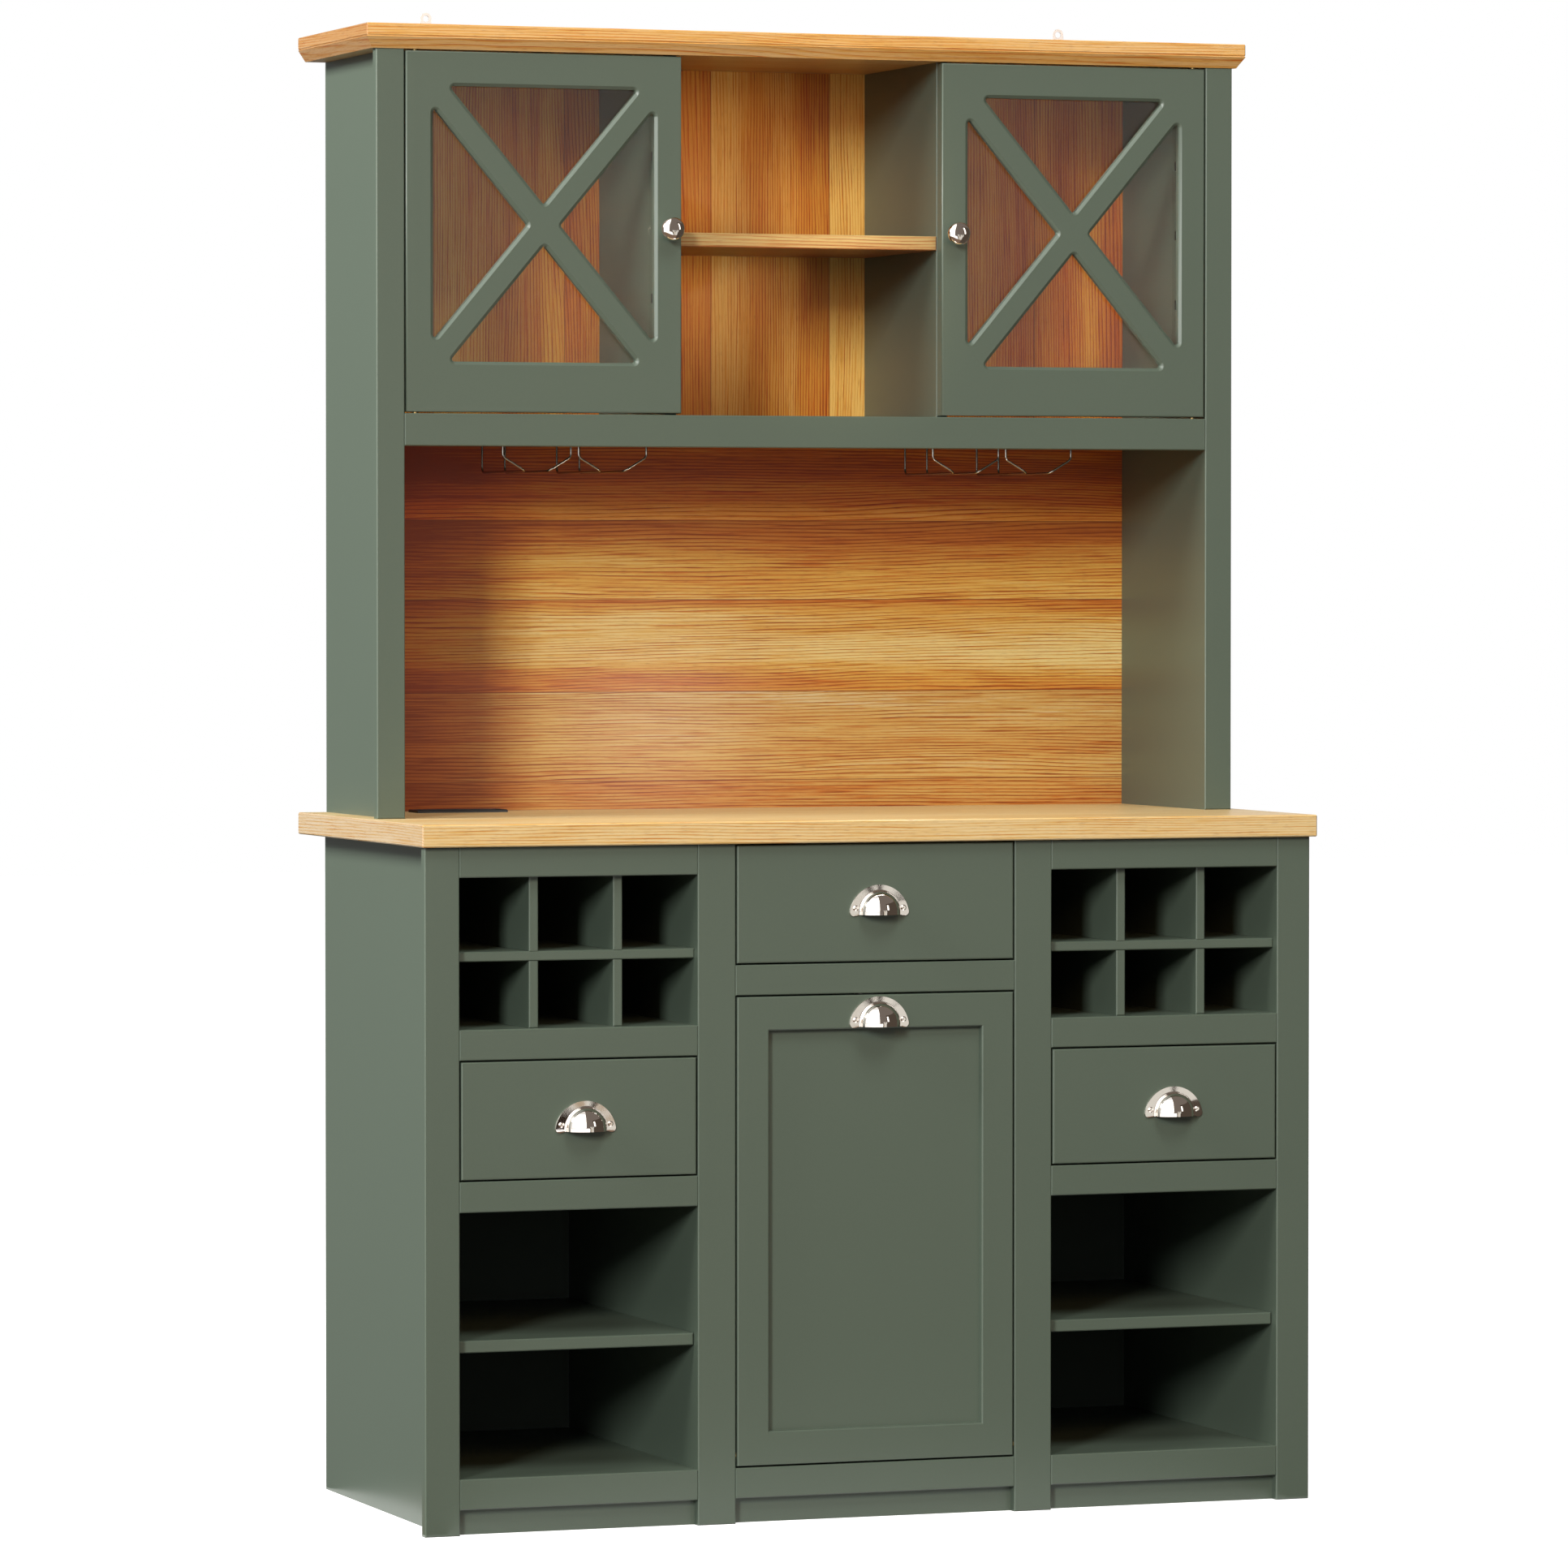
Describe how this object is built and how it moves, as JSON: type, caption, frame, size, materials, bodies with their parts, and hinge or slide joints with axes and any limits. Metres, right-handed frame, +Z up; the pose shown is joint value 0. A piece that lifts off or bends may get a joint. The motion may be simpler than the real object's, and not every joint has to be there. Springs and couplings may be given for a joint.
{
  "type": "tall kitchen cabinet",
  "caption": "Painted kitchen dresser with oak worktop: sliding drawers, a tilting bin door and bottle racks below, glazed cupboards and stemware racks above.",
  "frame": {"origin": "on the floor, at the middle of the bounding box's plan", "axes": "+Z up, the front faces -Y, +X is the viewer's right when facing the front"},
  "size_m": [1.2, 0.552, 1.9165],
  "materials": {
    "paint": "satin green-grey paint",
    "oak": "oiled oak",
    "carcass": "bare plywood",
    "nickel": "polished nickel",
    "steel": "zinc plated",
    "brass": "turned",
    "black": "matt black",
    "white": "white moulded",
    "glass": "clear"
  },
  "bodies": {
    "cabinet": {"base_side_left": "paint", "base_side_right": "paint", "base_partitions": "paint", "base_bottom": "paint", "base_back": "paint", "frame_stiles": "paint", "frame_posts": "paint", "frame_rails": "paint", "plinth": "paint", "bay_boards": "paint", "loose_shelves": "paint", "bottle_rack_left": "paint", "bottle_rack_right": "paint", "hutch_side_left": "paint", "hutch_side_right": "paint", "hutch_stiles": "paint", "hutch_rail": "paint", "hutch_floor": "paint", "hutch_dividers": "paint", "worktop": "oak", "crown_top": "oak", "crown_moulding": "oak", "hutch_shelf": "oak", "hutch_back": "oak", "backsplash": "oak", "runner_spacers": "carcass", "stemware_rack_left": "steel", "stemware_rack_right": "steel", "wall_hangers": "steel", "shelf_brackets": "steel", "cabinet_runners": "steel", "pivot_bushes": "brass", "outlet_bezel": "black", "outlet_housing": "black", "magnet_catches": "white"},
    "left_drawer": {"left_drawer_front": "paint", "left_drawer_box": "carcass", "left_drawer_pull": "nickel", "left_drawer_runners": "steel"},
    "right_drawer": {"right_drawer_front": "paint", "right_drawer_box": "carcass", "right_drawer_pull": "nickel", "right_drawer_runners": "steel"},
    "middle_drawer": {"middle_drawer_front": "paint", "middle_drawer_box": "carcass", "middle_drawer_pull": "nickel", "middle_drawer_runners": "steel"},
    "bin": {"bin_door": "paint", "bin_cradle": "carcass", "bin_fittings": "steel", "bin_pull": "nickel"},
    "left_glass_door": {"left_door_frame": "paint", "left_door_glass": "glass", "left_door_knob": "nickel", "left_door_fittings": "steel"},
    "right_glass_door": {"right_door_frame": "paint", "right_door_glass": "glass", "right_door_knob": "nickel", "right_door_fittings": "steel"}
  },
  "joints": [
    {"name": "left_drawer_slide", "type": "slide", "parent": "cabinet", "child": "left_drawer", "axis": [0, -1, 0], "range_m": [0, 0.3]},
    {"name": "right_drawer_slide", "type": "slide", "parent": "cabinet", "child": "right_drawer", "axis": [0, -1, 0], "range_m": [0, 0.3]},
    {"name": "middle_drawer_slide", "type": "slide", "parent": "cabinet", "child": "middle_drawer", "axis": [0, -1, 0], "range_m": [0, 0.3]},
    {"name": "bin_tilt", "type": "hinge", "parent": "cabinet", "child": "bin", "pos_m": [0, -0.246, 0.086], "axis": [1, 0, 0], "range_deg": [0, 40]},
    {"name": "left_door_hinge", "type": "hinge", "parent": "cabinet", "child": "left_glass_door", "pos_m": [-0.531, -0.014, 1.62], "axis": [0, 0, -1], "range_deg": [0, 110]},
    {"name": "right_door_hinge", "type": "hinge", "parent": "cabinet", "child": "right_glass_door", "pos_m": [0.531, -0.014, 1.62], "axis": [0, 0, 1], "range_deg": [0, 110]}
  ]
}
